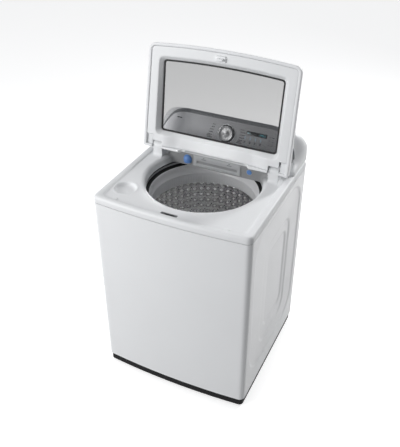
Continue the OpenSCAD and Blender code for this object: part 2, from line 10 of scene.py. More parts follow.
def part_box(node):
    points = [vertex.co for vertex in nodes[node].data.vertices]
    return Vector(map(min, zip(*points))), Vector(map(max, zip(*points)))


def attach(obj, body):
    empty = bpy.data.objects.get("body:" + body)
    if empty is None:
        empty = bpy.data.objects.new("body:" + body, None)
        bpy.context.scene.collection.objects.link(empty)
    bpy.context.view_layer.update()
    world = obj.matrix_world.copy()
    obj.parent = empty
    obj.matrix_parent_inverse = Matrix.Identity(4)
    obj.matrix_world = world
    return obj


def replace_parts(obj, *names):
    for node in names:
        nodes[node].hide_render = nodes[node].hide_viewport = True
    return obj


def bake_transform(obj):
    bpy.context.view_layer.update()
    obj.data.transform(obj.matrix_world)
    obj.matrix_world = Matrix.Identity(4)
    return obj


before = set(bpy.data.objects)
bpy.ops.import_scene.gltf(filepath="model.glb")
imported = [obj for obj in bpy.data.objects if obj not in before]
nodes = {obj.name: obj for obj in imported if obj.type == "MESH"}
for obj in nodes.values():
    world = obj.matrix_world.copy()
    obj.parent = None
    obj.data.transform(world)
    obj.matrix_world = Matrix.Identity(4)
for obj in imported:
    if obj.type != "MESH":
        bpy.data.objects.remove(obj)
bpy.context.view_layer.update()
scene = bpy.context.scene
scene.view_settings.view_transform = "Standard"
rng = random.Random(7)

# ---------- camera, floor and lights ----------

AZIMUTH, ELEVATION = math.radians(25.56), math.radians(34.91)
back = Vector((math.sin(AZIMUTH) * math.cos(ELEVATION), -math.cos(AZIMUTH) * math.cos(ELEVATION),
               math.sin(ELEVATION)))
camera = bpy.data.objects.new("camera", bpy.data.cameras.new("camera"))
scene.collection.objects.link(camera)
camera.location = (0.96245, -2.05166, 2.27545)
camera.rotation_mode = "QUATERNION"
camera.rotation_quaternion = (-back).to_track_quat("-Z", "Y")
camera.data.lens = 50.9
camera.data.clip_end = 100
scene.camera = camera


def node_material(name):
    mat = bpy.data.materials.new(name)
    mat.use_nodes = True
    return mat, mat.node_tree, mat.node_tree.nodes["Principled BSDF"]


def fill(node, values):
    """Sets inputs of a node by name."""
    for key, value in values.items():
        node.inputs[key].default_value = value


def link(source, node, name):
    """Joins an output socket to an input of a node."""
    node.id_data.links.new(source, node.inputs[name])


def add(tree, kind, **values):
    """A new node. Each value goes to the input of that name, or else to the node's own setting."""
    node = tree.nodes.new(kind)
    for key, value in values.items():
        if key in node.inputs:
            node.inputs[key].default_value = value
        else:
            setattr(node, key, value)
    return node


def remap(tree, source, from_range, to_range, **settings):
    """Maps from_range to to_range, and holds the ends."""
    out = add(tree, "ShaderNodeMapRange", **settings)
    fill(out, dict(zip(("From Min", "From Max", "To Min", "To Max"), (*from_range, *to_range))))
    link(source, out, "Value")
    return out.outputs["Result"]


# sockets of a colour mix node
MIX_FACTOR, MIX_A, MIX_B, MIX_OUT = 0, 6, 7, 2


def darken(tree, shade, factor):
    """Multiplies a colour socket by a value socket."""
    out = add(tree, "ShaderNodeMix", data_type="RGBA", blend_type="MULTIPLY")
    out.inputs[MIX_FACTOR].default_value = 1.0
    link(shade, out, MIX_A)
    link(factor, out, MIX_B)
    return out.outputs[MIX_OUT]


def coordinate(tree, kind, axis):
    """One axis of a texture coordinate of a kind."""
    where = add(tree, "ShaderNodeTexCoord")
    split = add(tree, "ShaderNodeSeparateXYZ")
    link(where.outputs[kind], split, "Vector")
    return split.outputs[axis]


def floor_material():
    mat, _, bsdf = node_material("floor_white")
    fill(bsdf, {"Base Color": (0.8, 0.8, 0.8, 1), "Roughness": 0.9, "Specular IOR Level": 0,
                "Emission Color": (1, 1, 1, 1), "Emission Strength": 0.55})
    return mat


FLOOR_REACH, FLOOR_DROP = 40, 0.0005
floor_mesh = bpy.data.meshes.new("floor")
floor_corners = [(x * FLOOR_REACH, y * FLOOR_REACH, 0) for x, y in ((-1, -1), (1, -1), (1, 1), (-1, 1))]
floor_mesh.from_pydata(floor_corners, [], [(0, 1, 2, 3)])
floor = bpy.data.objects.new("floor", floor_mesh)
floor.location.z = -FLOOR_DROP
floor.visible_diffuse = False
floor_mesh.materials.append(floor_material())
scene.collection.objects.link(floor)

# the sky is brighter on the machine's left than on its right
world = bpy.data.worlds.new("studio")
world.use_nodes = True
sky = world.node_tree.nodes["Background"]
sky.inputs["Color"].default_value = (0.97, 0.98, 1, 1)
across = coordinate(world.node_tree, "Generated", "X")
glow = remap(world.node_tree, across, (-0.8, 0.9), (0.68, 0.14))
link(glow, sky, "Strength")
scene.world = world


def softbox(name, place, target, width, height, power, spread_deg=180):
    lamp = bpy.data.lights.new(name, "AREA")
    lamp.shape = "RECTANGLE"
    lamp.size = width
    lamp.size_y = height
    lamp.energy = power
    lamp.spread = math.radians(spread_deg)
    ob = bpy.data.objects.new(name, lamp)
    ob.location = place
    ob.rotation_mode = "QUATERNION"
    ob.rotation_quaternion = (Vector(target) - Vector(place)).to_track_quat("-Z", "Y")
    scene.collection.objects.link(ob)


softbox("key", (-2.0, -2.6, 1.9), (0, 0, 0.6), 1.5, 1.5, 59)
softbox("fill", (1.3, 2.3, 2.3), (0.34, 0, 0.5), 0.35, 0.7, 52)
softbox("top", (-0.3, -0.4, 3.6), (0, 0, 0.9), 2.2, 2.2, 12)
softbox("drum_light", (0, -0.18, 2.4), (0, -0.05, 0.7), 0.2, 0.2, 1.7, 9)

# ---------- materials ----------


def noise(tree, stretch, scale, detail=3.0):
    """Noise in object space, stretched per axis."""
    where = add(tree, "ShaderNodeTexCoord")
    mapping = add(tree, "ShaderNodeMapping")
    mapping.inputs["Scale"].default_value = stretch
    out = add(tree, "ShaderNodeTexNoise", Scale=scale, Detail=detail)
    link(where.outputs["Object"], mapping, "Vector")
    link(mapping.outputs["Vector"], out, "Vector")
    return out.outputs["Fac"]


def spread(tree, source, low, high):
    """Maps noise, which lies mostly between 0.3 and 0.7, to low..high."""
    return remap(tree, source, (0.3, 0.7), (low, high))


def surface(name, colour, rough, metallic=0.0, coat=0.0, vary=0.03, patch=5.0, grain=900, bump=0.05,
            stretch=(1, 1, 1), grain_vary=0.0, specular=0.5, aniso=0.0, alpha=1.0, depth=0.0002, painted_shade_ramp=None):
    """A finish with slow colour drift, roughness variation and a fine surface texture.

    The last argument is painted shade, given as (axis, start, end, first, last): the colour goes from first to
    last times itself along an object axis, in metres."""
    mat, tree, bsdf = node_material(name)
    fine = noise(tree, stretch, grain, 2.0)
    slow = noise(tree, (1, 1, 1), patch)
    drift = add(tree, "ShaderNodeMix", data_type="RGBA")
    drift.inputs[MIX_A].default_value = (*[c * (1 - vary) for c in colour], 1)
    drift.inputs[MIX_B].default_value = (*[min(1.0, c * (1 + vary)) for c in colour], 1)
    link(spread(tree, slow, 0, 1), drift, MIX_FACTOR)
    shade = drift.outputs[MIX_OUT]
    if grain_vary:
        shade = darken(tree, shade, spread(tree, fine, 1 - grain_vary, 1.0))
    # painted shade: the colour changes along an object axis
    if painted_shade_ramp:
        axis, start, end, first, last = painted_shade_ramp
        along = coordinate(tree, "Object", axis)
        shade = darken(tree, shade, remap(tree, along, (start, end), (first, last),
                                          interpolation_type="SMOOTHSTEP"))
    link(shade, bsdf, "Base Color")
    link(spread(tree, fine, rough * 0.9, rough * 1.12), bsdf, "Roughness")
    fill(bsdf, {"Metallic": metallic, "Coat Weight": coat, "Coat Roughness": 0.12,
                "Specular IOR Level": specular, "Anisotropic": aniso, "Alpha": alpha})
    if bump:
        relief = add(tree, "ShaderNodeBump", Strength=bump, Distance=depth)
        link(fine, relief, "Height")
        link(relief.outputs["Normal"], bsdf, "Normal")
    if aniso:
        turn = add(tree, "ShaderNodeTangent", direction_type="RADIAL", axis="Z")
        link(turn.outputs["Tangent"], bsdf, "Tangent")
    return mat


WHITE = (0.80, 0.81, 0.82)
paint = surface("white_enamel", WHITE, 0.34, coat=0.25, vary=0.012, patch=3, grain=420)
plastic = surface("white_plastic", WHITE, 0.42, vary=0.01, patch=4)
# Painted shade: the mouth's rear wall darkens towards the rear, the shade under the open lid.
wall_painted_shade = surface("mouth_wall_plastic", WHITE, 0.42, vary=0.01,
                       painted_shade_ramp=("Y", 0.065, 0.130, 1.0, 0.36))
# Painted shade for the inside of the drawer's grip.
grip_painted_shade = surface("grip_shadow", (0.27, 0.275, 0.28), 0.5)
grey_plastic = surface("light_grey_plastic", (0.43, 0.44, 0.45), 0.4, vary=0.015)
base_black = surface("black_plastic", (0.008, 0.008, 0.009), 0.62, vary=0.15, grain=1200, bump=0.15,
                     specular=0.15)
rubber = surface("black_rubber", (0.012, 0.012, 0.013), 0.6, vary=0.15, bump=0.15)
# The ramp along X is painted shade: the brushed fascia darkens towards the machine's right.
fascia_metal = surface("brushed_fascia", (0.90, 0.905, 0.93), 0.5, metallic=0.12, vary=0.02, grain=60,
                       stretch=(0.5, 40, 40), grain_vary=0.08, bump=0.06, painted_shade_ramp=("X", -0.3, 0.3, 1.0, 0.42))
trim_dark = surface("dark_trim", (0.17, 0.175, 0.185), 0.4, metallic=0.4, grain=800, bump=0.04)
# Its light and dark sectors are a painted highlight, added by spun_highlight.
knob_metal = surface("spun_metal", (0.80, 0.80, 0.81), 0.34, metallic=0.8, vary=0.02, grain=40,
                     bump=0.02, aniso=0.75)
chrome = surface("chrome", (0.86, 0.87, 0.88), 0.16, metallic=1.0, vary=0.02, grain=600, bump=0.02)
knob_side = surface("knob_dark_chrome", (0.18, 0.18, 0.19), 0.22, metallic=0.9, grain=700, bump=0.02)
drum_steel = surface("drum_stainless", (0.90, 0.90, 0.90), 0.19, metallic=1.0, vary=0.04, patch=9, grain=300,
                     stretch=(1, 1, 0.15), grain_vary=0.05)
ring_plastic = surface("ring_grey_plastic", (0.78, 0.785, 0.795), 0.3, grain=700)
tub_plastic = surface("tub_grey_plastic", (0.42, 0.425, 0.43), 0.42, grain=700, bump=0.06)
galvanised = surface("galvanised_steel", (0.48, 0.49, 0.5), 0.36, metallic=0.9, vary=0.12, patch=28,
                     grain=120, grain_vary=0.1, bump=0.06)
bright_steel = surface("bright_steel", (0.6, 0.6, 0.61), 0.22, metallic=1.0, grain=500, bump=0.04)
blue_plastic = surface("blue_plastic", (0.13, 0.27, 0.60), 0.32, vary=0.04, patch=30, bump=0.06)
red_plastic = surface("red_plastic", (0.42, 0.04, 0.035), 0.4, vary=0.04, bump=0.06)
print_grey = surface("print_grey", (0.02, 0.021, 0.024), 0.5, vary=0.05, bump=0.03)
display_black = surface("display_glass", (0.006, 0.007, 0.008), 0.12, coat=0.5, vary=0.05, grain=600,
                        bump=0.01)
board_green = surface("circuit_board", (0.02, 0.12, 0.05), 0.45, vary=0.1, patch=60, bump=0.08)
copper = surface("winding_copper", (0.5, 0.2, 0.08), 0.4, metallic=0.8, vary=0.1, patch=40, grain=300,
                 bump=0.2)
# Black for the dark inside of holes and slots: painted shade.
hole_painted_shade = surface("hole_painted_shade", (0.01, 0.01, 0.01), 0.8, vary=0.1, grain=700, bump=0.02)


def lit(name, colour, strength):
    mat = surface(name, colour, 0.3, vary=0.05, grain=700, bump=0.02)
    fill(mat.node_tree.nodes["Principled BSDF"],
         {"Emission Color": (*colour, 1), "Emission Strength": strength})
    return mat


teal_light = lit("display_teal", (0.10, 0.46, 0.55), 0.7)
key_blue = lit("key_pale_blue", (0.42, 0.62, 0.78), 0.35)
glass = surface("tinted_glass", (0.05, 0.052, 0.055), 0.06, vary=0.02, patch=2, grain=300, bump=0.0,
                alpha=0.30, specular=0.3)

# ---------- mesh helpers ----------


def finish_mesh(mesh, angle=32):
    """Outward normals, smooth faces and sharp edges above the angle."""
    bm = bmesh.new()
    bm.from_mesh(mesh)
    bmesh.ops.remove_doubles(bm, verts=bm.verts, dist=1e-6)
    bmesh.ops.dissolve_degenerate(bm, dist=1e-6, edges=bm.edges)
    bmesh.ops.recalc_face_normals(bm, faces=bm.faces)
    limit = math.radians(angle)
    for face in bm.faces:
        face.smooth = True
    for edge in bm.edges:
        edge.smooth = not (len(edge.link_faces) == 2 and edge.calc_face_angle(0.0) > limit)
    bm.to_mesh(mesh)
    bm.free()


def new_object(name, verts, faces, angle=32):
    """A new object in the scene from points in mm."""
    mesh = bpy.data.meshes.new(name)
    mesh.from_pydata([Vector(v) * 0.001 for v in verts], [], faces)
    finish_mesh(mesh, angle)
    ob = bpy.data.objects.new(name, mesh)
    scene.collection.objects.link(ob)
    return ob


def piece(name, verts, faces, mat, body, angle=32, place=None):
    """A new object that rides on body, if one is given. place is its own matrix."""
    ob = new_object(name, verts, faces, angle)
    ob.data.materials.append(mat)
    if place is not None:
        ob.matrix_world = place
    if body:
        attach(ob, body)
    return ob


def loft(rings, closed=True, loop=False, cap_start=False, cap_end=False):
    """Quads between rings of equal length. closed joins each ring's ends, loop the last ring to the first."""
    n = len(rings[0])
    verts = [p for ring in rings for p in ring]
    faces = []
    last = n if closed else n - 1
    count = len(rings) if loop else len(rings) - 1
    for j in range(count):
        k = (j + 1) % len(rings)
        for i in range(last):
            i2 = (i + 1) % n
            faces.append((j * n + i, j * n + i2, k * n + i2, k * n + i))
    if cap_start:
        faces.append(tuple(range(n))[::-1])
    if cap_end:
        faces.append(tuple((len(rings) - 1) * n + i for i in range(n)))
    return verts, faces


def solid(rings):
    """A loft with both ends filled."""
    return loft(rings, cap_start=True, cap_end=True)


def merged(parts):
    verts, faces = [], []
    for v, f in parts:
        base = len(verts)
        verts += v
        faces += [tuple(i + base for i in face) for face in f]
    return verts, faces


def circle(steps):
    """Cosine and sine of even steps round a turn."""
    return [(math.cos(2 * math.pi * i / steps), math.sin(2 * math.pi * i / steps)) for i in range(steps)]


def lathe(profile, steps=96, x=0.0, y=0.0):
    """Revolves (r, z) points round the vertical line at x, y. Points at r 0 close the ends."""
    return loft([[(x + r * c, y + r * s, z) for c, s in circle(steps)] for r, z in profile])


def ribbed(profile, steps, change):
    """Rings of a revolved profile. change(k, i) is added to the radius at profile point k and step i."""
    rings = []
    for k, (r, z) in enumerate(profile):
        radii = [r + change(k, i) for i in range(steps)]
        rings.append([(radius * c, radius * s, z) for radius, (c, s) in zip(radii, circle(steps))])
    return rings


def face_out(ob, upward=False):
    """Turns an open shell's normals up, or away from the vertical axis."""
    total = 0.0
    for face in ob.data.polygons:
        c = face.center
        total += face.area * (face.normal.z if upward else face.normal.x * c.x + face.normal.y * c.y)
    if total < 0:
        ob.data.flip_normals()


def bake(ob, angle):
    """Applies the modifiers for good."""
    bpy.context.view_layer.update()
    graph = bpy.context.evaluated_depsgraph_get()
    mesh = bpy.data.meshes.new_from_object(ob.evaluated_get(graph))
    ob.modifiers.clear()
    ob.data = mesh
    finish_mesh(mesh, angle)


def cut(ob, cutter_parts, angle):
    """Takes closed shapes out of a closed piece, one after the other."""
    for verts, faces in cutter_parts:
        tool = new_object("cutter", verts, faces)
        mod = ob.modifiers.new("cut", "BOOLEAN")
        mod.operation = "DIFFERENCE"
        mod.solver = "EXACT"
        mod.object = tool
        bake(ob, angle)
        bpy.data.objects.remove(tool)


def block(x0, x1, y0, y1, z0, z1):
    verts = [(x, y, z) for z in (z0, z1) for x, y in ((x0, y0), (x1, y0), (x1, y1), (x0, y1))]
    return solid([verts[:4], verts[4:]])


def rounded(ob, width, angle):
    """Rounds the edges that are sharper than the angle."""
    mod = ob.modifiers.new("round", "BEVEL")
    mod.width = width * 0.001
    mod.segments = 3
    mod.limit_method = "ANGLE"
    mod.angle_limit = math.radians(angle)
    bake(ob, 40)


def rrect(w, h, r, n=6, cx=0.0, cy=0.0):
    """Rounded rectangle, anticlockwise from the right; n steps to a corner."""
    pts = []
    for k, (sx, sy) in enumerate(((1, 1), (-1, 1), (-1, -1), (1, -1))):
        for i in range(n + 1):
            a = math.pi / 2 * (k + i / n)
            pts.append((cx + sx * (w / 2 - r) + r * math.cos(a), cy + sy * (h / 2 - r) + r * math.sin(a)))
    return pts


def lerp(a, b, t):
    return a + (b - a) * t


def mix2(p, q, t):
    return tuple(lerp(a, b, t) for a, b in zip(p, q))


def follow(knots, at):
    """Straight lines between knots; level before the first and after the last."""
    for (a0, b0), (a1, b1) in zip(knots, knots[1:]):
        if at <= a1:
            return lerp(b0, b1, max(0.0, (at - a0) / (a1 - a0)))
    return knots[-1][1]


def smooth(t):
    t = min(1.0, max(0.0, t))
    return t * t * (3 - 2 * t)


HALF_WIDTH = 343
HINGE_Y, HINGE_Z = 115, 965
BOW_CENTRE = 3130.0
# points along the front, front corners, sides, rear corners and rear of a plan outline
BODY_STEPS = (72, 8, 36, 4, 80)


def plan(hw, yf, rc, yr, rr, bow=None, steps=BODY_STEPS):
    """Plan outline with a bowed front, anticlockwise from the left end of the front."""
    nf, nc, ns, nq, nr = steps
    big = bow or BOW_CENTRE - yf
    cy = yf + big
    at = math.asin((hw - rc) / (big - rc))
    yc = cy - math.sqrt((big - rc) ** 2 - (hw - rc) ** 2)
    pts = []
    for i in range(nf + 1):
        a = -math.pi / 2 - at + 2 * at * i / nf
        pts.append((big * math.cos(a), cy + big * math.sin(a)))
    for i in range(1, nc + 1):
        a = lerp(-math.pi / 2 + at, 0, i / nc)
        pts.append((hw - rc + rc * math.cos(a), yc + rc * math.sin(a)))
    for i in range(1, ns):
        pts.append((hw, lerp(yc, yr - rr, i / ns)))
    for i in range(nq + 1):
        a = math.pi / 2 * i / nq
        pts.append((hw - rr + rr * math.cos(a), yr - rr + rr * math.sin(a)))
    for i in range(1, nr):
        pts.append((lerp(hw - rr, rr - hw, i / nr), yr))
    left = [(-x, y) for x, y in pts[nf + 1:len(pts) - nr + 1]]
    return pts + left[::-1]


def body_plan(d):
    """Plan of the cabinet, d inside its skin."""
    return plan(HALF_WIDTH - d, -339 + d, max(25 - d, 4), 318.5 - d, max(8 - d, 2))


def raise_ring(outline, z):
    return [(x, y, z) for x, y in outline]


# ---------- cabinet wrap ----------

# nested steps of the side panel: centre y and z, width, height and corner radius
PRESSINGS = ((4, 507, 544, 742, 120), (4, 487, 316, 550, 80), (15, 491, 232, 422, 55))
STEP_DEPTH, STEP_WIDTH = 4.0, 19.0
PANEL_FRONT, PANEL_REAR, PANEL_LOW, PANEL_HIGH = -290.0, 309.3, 51.0, 898.0
# points round each corner of a pressing, and along each of its sides
CORNER_N, EDGE_ROWS = 10, 12


def side_rings():
    """Rings of the stepped side pressing, from the panel edge inwards, as (y, z, depth)."""
    y0, y1, z0, z1 = PANEL_FRONT, PANEL_REAR, PANEL_LOW, PANEL_HIGH

    def ring(cy, cz, w, h, r, depth):
        corners = rrect(w, h, r, CORNER_N, cy, cz)
        n = CORNER_N + 1
        pts = []
        for k in range(4):
            arc = corners[k * n:(k + 1) * n]
            after = corners[(k + 1) * n % len(corners)]
            pts += arc + [mix2(arc[-1], after, i / EDGE_ROWS) for i in range(1, EDGE_ROWS)]
        return [(y, z, depth) for y, z in pts]

    cy, cz, w, h, r = PRESSINGS[0]
    edge = ring((y0 + y1) / 2, (z0 + z1) / 2, y1 - y0, z1 - z0, 0.01, 0.0)
    rings = [edge, ring(cy, cz, w + 16, h + 16, r + 8, 0.0)]
    for k, (cy, cz, w, h, r) in enumerate(PRESSINGS):
        base = k * STEP_DEPTH
        for i in range(7):
            t = i / 6
            g = lerp(3, 3 - 2 * STEP_WIDTH, t)
            rings.append(ring(cy, cz, w + g, h + g, r + g / 2, base + STEP_DEPTH * smooth(t)))
    cy, cz, w, h, r = PRESSINGS[-1]
    rings.append(ring(cy, cz, w - 60, h - 60, r - 30, 3 * STEP_DEPTH))
    rings.append(ring(cy, cz, 40, 200, 4, 3 * STEP_DEPTH))
    return rings


def cabinet_wrap():
    """Side panels with pressings, the bowed front and the rear bends, as one thin shell."""
    parts = []
    rings = side_rings()
    for s in (-1, 1):
        parts.append(loft([[(s * (HALF_WIDTH - depth), y, z) for y, z, depth in ring] for ring in rings],
                          cap_end=True))
    # the same heights as the side panel's front edge, so that the two weld
    front_edge = sorted({round(z, 4) for y, z, _ in rings[0] if y < PANEL_FRONT + 0.1})
    whole = body_plan(0)
    nf, nc = BODY_STEPS[:2]
    front = whole[-nc:] + whole[:nf + 1 + nc]
    run = [(-HALF_WIDTH, PANEL_FRONT)] + front + [(HALF_WIDTH, PANEL_FRONT)]
    parts.append(loft([raise_ring(run, z) for z in front_edge], closed=False))
    for s in (-1, 1):
        bend = [(s * (335 + 8 * math.cos(a)), PANEL_REAR + 8 * math.sin(a))
                for a in [math.pi / 2 * i / 5 for i in range(6)]] + [(s * 322, 317.3)]
        parts.append(loft([raise_ring(bend, z) for z in (PANEL_LOW, 300, 600, PANEL_HIGH)], closed=False))
    ob = piece("cabinet_panels", *merged(parts), paint, "cabinet", angle=50)
    face_out(ob)
    mod = ob.modifiers.new("thick", "SOLIDIFY")
    mod.thickness = 0.0012
    mod.offset = -1
    bake(ob, 50)
    # rounded return flange under the top edge
    rows = [raise_ring(body_plan(d), z) for d, z in ((1.0, 897.4), (14, 897.4), (14, 896.2), (1.0, 896.2))]
    piece("cabinet_top_flange", *loft(rows, loop=True), paint, "cabinet")
    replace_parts(ob, "cabinet_wrap")


cabinet_wrap()

# ---------- top cover ----------

DECK_Z, SEAT_Z = 924.0, 929.3
MOUTH_R = 246.0
WALL_Y = 130.0
# the platform behind the mouth: half width, rear edge and height
SHELF_HALF, SHELF_REAR, SHELF_TOP = 250, 164.5, 947
NO_WALL = 1e6
LATCH_X, LATCH_Y = -6, -301
DISH_X, DISH_Y = -255, -205


def soft_min(a, b, k=16.0):
    """The smaller value, rounded off over k where the two are close."""
    h = max(k - abs(a - b), 0.0) / k
    return min(a, b) - h * h * k / 4


def bezier(p0, p1, p2, p3, t):
    u = 1 - t
    return tuple(u ** 3 * a + 3 * u * u * t * b + 3 * u * t * t * c + t ** 3 * d
                 for a, b, c, d in zip(p0, p1, p2, p3))


def latch_ring(w, h, r, z, y0=LATCH_Y):
    """Rounded rectangle on the latch's centre line."""
    return [(x + LATCH_X, y + y0, z) for x, y in rrect(w, h, r)]


def mouth_column(px, py):
    """Points (r, z) from the bottom of the skirt out over the deck to px, py, and the radius where the
    platform behind the mouth ends in this direction, or 0."""
    reach = math.hypot(px, py)
    angle = math.atan2(py, px)
    wall = WALL_Y / math.sin(angle) if 0.05 < angle < math.pi - 0.05 else NO_WALL
    at_wall = wall < NO_WALL and abs(wall * math.cos(angle)) < SHELF_HALF
    rim = soft_min(MOUTH_R, wall) if at_wall or wall < 280 else MOUTH_R
    column = [(rim - 3, 888.5), (rim - 1.5, 896), (rim, 905)]
    if at_wall:
        wall = max(wall, rim)
        column += [bezier((rim, 906), (rim, 924), (wall, 922), (wall, 939), i / 6) for i in range(7)]
        end = min(SHELF_REAR / math.sin(angle), SHELF_HALF / max(1e-6, abs(math.cos(angle))))
        column += [(wall + 0.3, 943), (wall + 1.4, 945.6), (wall + 4, SHELF_TOP)]
        end = max(end, wall + 9)
        column += [(lerp(wall + 4, end - 3, t), SHELF_TOP) for t in (0.35, 0.7, 1)]
        column += [(end - 0.8, 946.2), (end, 944), (end, 936), (end, 929.4)]
        return column, end
    for i in range(7):
        a = math.pi / 2 * i / 6
        column.append((rim + 17 * (1 - math.cos(a)), 907 + 17 * math.sin(a)))
    column += [(lerp(rim + 17, reach, (i + 1) / 11), DECK_Z) for i in range(10)]
    return column, 0.0


def outwards(x, y, r, z):
    """The point at radius r in the direction of x, y."""
    d = math.hypot(x, y)
    return x / d * r, y / d * r, z


def top_cover():
    inner = plan(308, -312, 26, 150, 10)
    outer = plan(313.5, -316.5, 31, 155, 15)
    columns = [mouth_column(x, y) for x, y in inner]
    rows = len(columns[0][0])
    rings = []
    for k in range(rows):
        rings.append([outwards(x, y, *column[k]) for (x, y), (column, end) in zip(inner, columns)])
    for t in (0.0, 0.25, 0.5, 0.75, 1.0):
        ring = []
        for (x, y), (x2, y2), (column, end) in zip(inner, outer, columns):
            if end:
                ring.append(outwards(x, y, end + 0.4 + t, SEAT_Z))
            else:
                px, py = mix2((x, y), (x2, y2), t)
                ring.append((px, py, DECK_Z + 5.3 * smooth(t)))
        rings.append(ring)
    for d, z in ((13, SEAT_Z), (9.5, 929.1), (7, 928.4), (4.8, 926.6), (2.8, 924), (1.0, 921), (0.2, 918.5),
                 (0, 915), (0, 902), (0.4, 899.6), (1.2, 899)):
        rings.append(raise_ring(body_plan(d), z))
    ob = piece("top_cover_shell", *loft(rings), plastic, "cabinet", angle=60)
    face_out(ob, upward=True)
    mod = ob.modifiers.new("thick", "SOLIDIFY")
    mod.thickness = 0.0024
    mod.offset = -1
    bake(ob, 45)
    # The mouth's rear wall takes the material with painted shade.
    ob.data.materials.append(wall_painted_shade)
    for face in ob.data.polygons:
        c = face.center
        if c.y > 0.06 and abs(c.x) < 0.26 and math.hypot(c.x, c.y) < 0.268 and c.z < 0.9455:
            face.material_index = 1
    through = (915, 935)
    slot = [latch_ring(73, 16, 5, z) for z in through]
    dish = [[(46 * c + DISH_X, 46 * s + DISH_Y, z) for c, s in circle(48)] for z in through]
    drawer_gap = block(-112, 112, 118, 170, 892.5, 944.2)
    cut(ob, [drawer_gap, solid(slot), solid(dish)], 45)
    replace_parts(ob, "top_cover")
    bowl = [(56, 924.15), (53.5, 924.7), (50, 924.9), (47.5, 924.5), (45.2, 922.8), (43.4, 919.5),
            (42, 915.5), (39.5, 911.8), (35, 909.4), (28, 908.4), (0, 908.2)]
    under = [(0, 906.2), (29, 906.4), (36.5, 907.6), (41.5, 910.5), (44, 915), (45, 920), (47, 922.5),
             (56, 923.6)]
    piece("bleach_dish", *lathe(bowl + under + bowl[:1], 72, DISH_X, DISH_Y), plastic, "cabinet", angle=60)
    # frame of the latch slot and two lid bumpers
    outside, inside = (72.6, 15.6, 4.8), (69, 12.4, 3.6)
    rows = [latch_ring(*size, z) for size, z in ((outside, 921.0), (outside, 923.4), (inside, 923.2),
                                                 (inside, 920.2), (outside, 920.2))]
    piece("latch_slot_frame", *loft(rows, loop=True), grey_plastic, "cabinet")
    for k, x in enumerate((-248, 236)):
        bump = [(0, 926.4), (7, 926.3), (9, 925.7), (10, 924.6), (10.4, 923.6), (0, 923.6)]
        piece(f"lid_bumper_{k}", *lathe(bump, 32, x, -296), plastic, "cabinet", angle=60)
    for side, s in (("left", -1), ("right", 1)):
        post = [(72, 922.8), (78, 923.9), (84, 925.4), (88, 927.2), (90.4, 930), (91, 934), (91, HINGE_Z)]
        for i in range(19):
            a = math.pi * i / 18
            post.append((HINGE_Y - 24 * math.cos(a), HINGE_Z + 24 * math.sin(a)))
        post += [(139, HINGE_Z), (139, 923.2)]
        rings = [[(s * x, y, z) for y, z in post] for x in (247, 290)]
        ob = piece(f"hinge_post_{side}", *solid(rings), plastic, "cabinet")
        rounded(ob, 2.0, 50)


top_cover()

# ---------- console ----------

LEAN = math.radians(22.65)
FACE_Y, LEDGE_Z, CREST_Z = 203, 958, 1091.5
FASCIA = Matrix.Translation((0, FACE_Y / 1000, LEDGE_Z / 1000)) @ Matrix.Rotation(math.pi / 2 - LEAN, 4, "X")
DIAL_V = 73.0


def front_y(z):
    """Front profile of the console: lower wall, ledge, then the leaning face."""
    return follow(((929, 165), (946, 165), (952, 170), (LEDGE_Z, FACE_Y), (1085, 256), (1092, 260)), z)


FRONT_HALF = ((337, 929.2), (337, 937), (336.5, 944), (334, 950), (328, 956), (322, 962), (318, 971),
              (316, 981), (313.5, 994), (308.6, 1009), (299, 1027), (289, 1044), (279, 1057.5), (268, 1068.5),
              (254, 1077.5), (238, 1084), (219, 1089), (198, 1091.5))
REAR_HALF = ((337, 929.2), (337, 937), (337, 944), (337, 950), (337, 956), (337, 962), (336.6, 971),
             (336, 981))
REAR_HALF += tuple((262 + 74 * math.cos(math.pi / 18 * i), 1003 + 88.5 * math.sin(math.pi / 18 * i))
                   for i in range(10))


def inset_line(points, d, closed=False):
    """Moves each point of a line inwards by d, square to its neighbours."""
    last = len(points) - 1
    out = []
    for i, (x, z) in enumerate(points):
        x0, z0 = points[i - 1 if closed else max(i - 1, 0)]
        x1, z1 = points[(i + 1) % len(points) if closed else min(i + 1, last)]
        length = math.hypot(x1 - x0, z1 - z0) or 1
        out.append((x - (z1 - z0) / length * d, z + (x1 - x0) / length * d))
    return out


def console_outline(d, blend):
    """Outline seen from the front: cut corners at the face (0), full round corners at the back (1)."""
    half = [mix2(p, q, blend) for p, q in zip(FRONT_HALF, REAR_HALF)]
    reach, top = half[-1]
    flat = [(lerp(reach, -reach, i / 16), top) for i in range(1, 16)]
    return inset_line(half + flat + [(-x, z) for x, z in half[::-1]], d)


def roof(y):
    """Height of the top of the console, which falls steeply behind the crest."""
    return follow(((262, CREST_Z), (268, 1090), (300, 1066), (325, 1046), (340, 1029)), y)


def under_roof(x, y, z):
    """Lowers a point of the outline so that the outline's top meets the roof."""
    return x, y, z if z < LEDGE_Z else LEDGE_Z + (z - LEDGE_Z) * (roof(y) - LEDGE_Z) / (CREST_Z - LEDGE_Z)


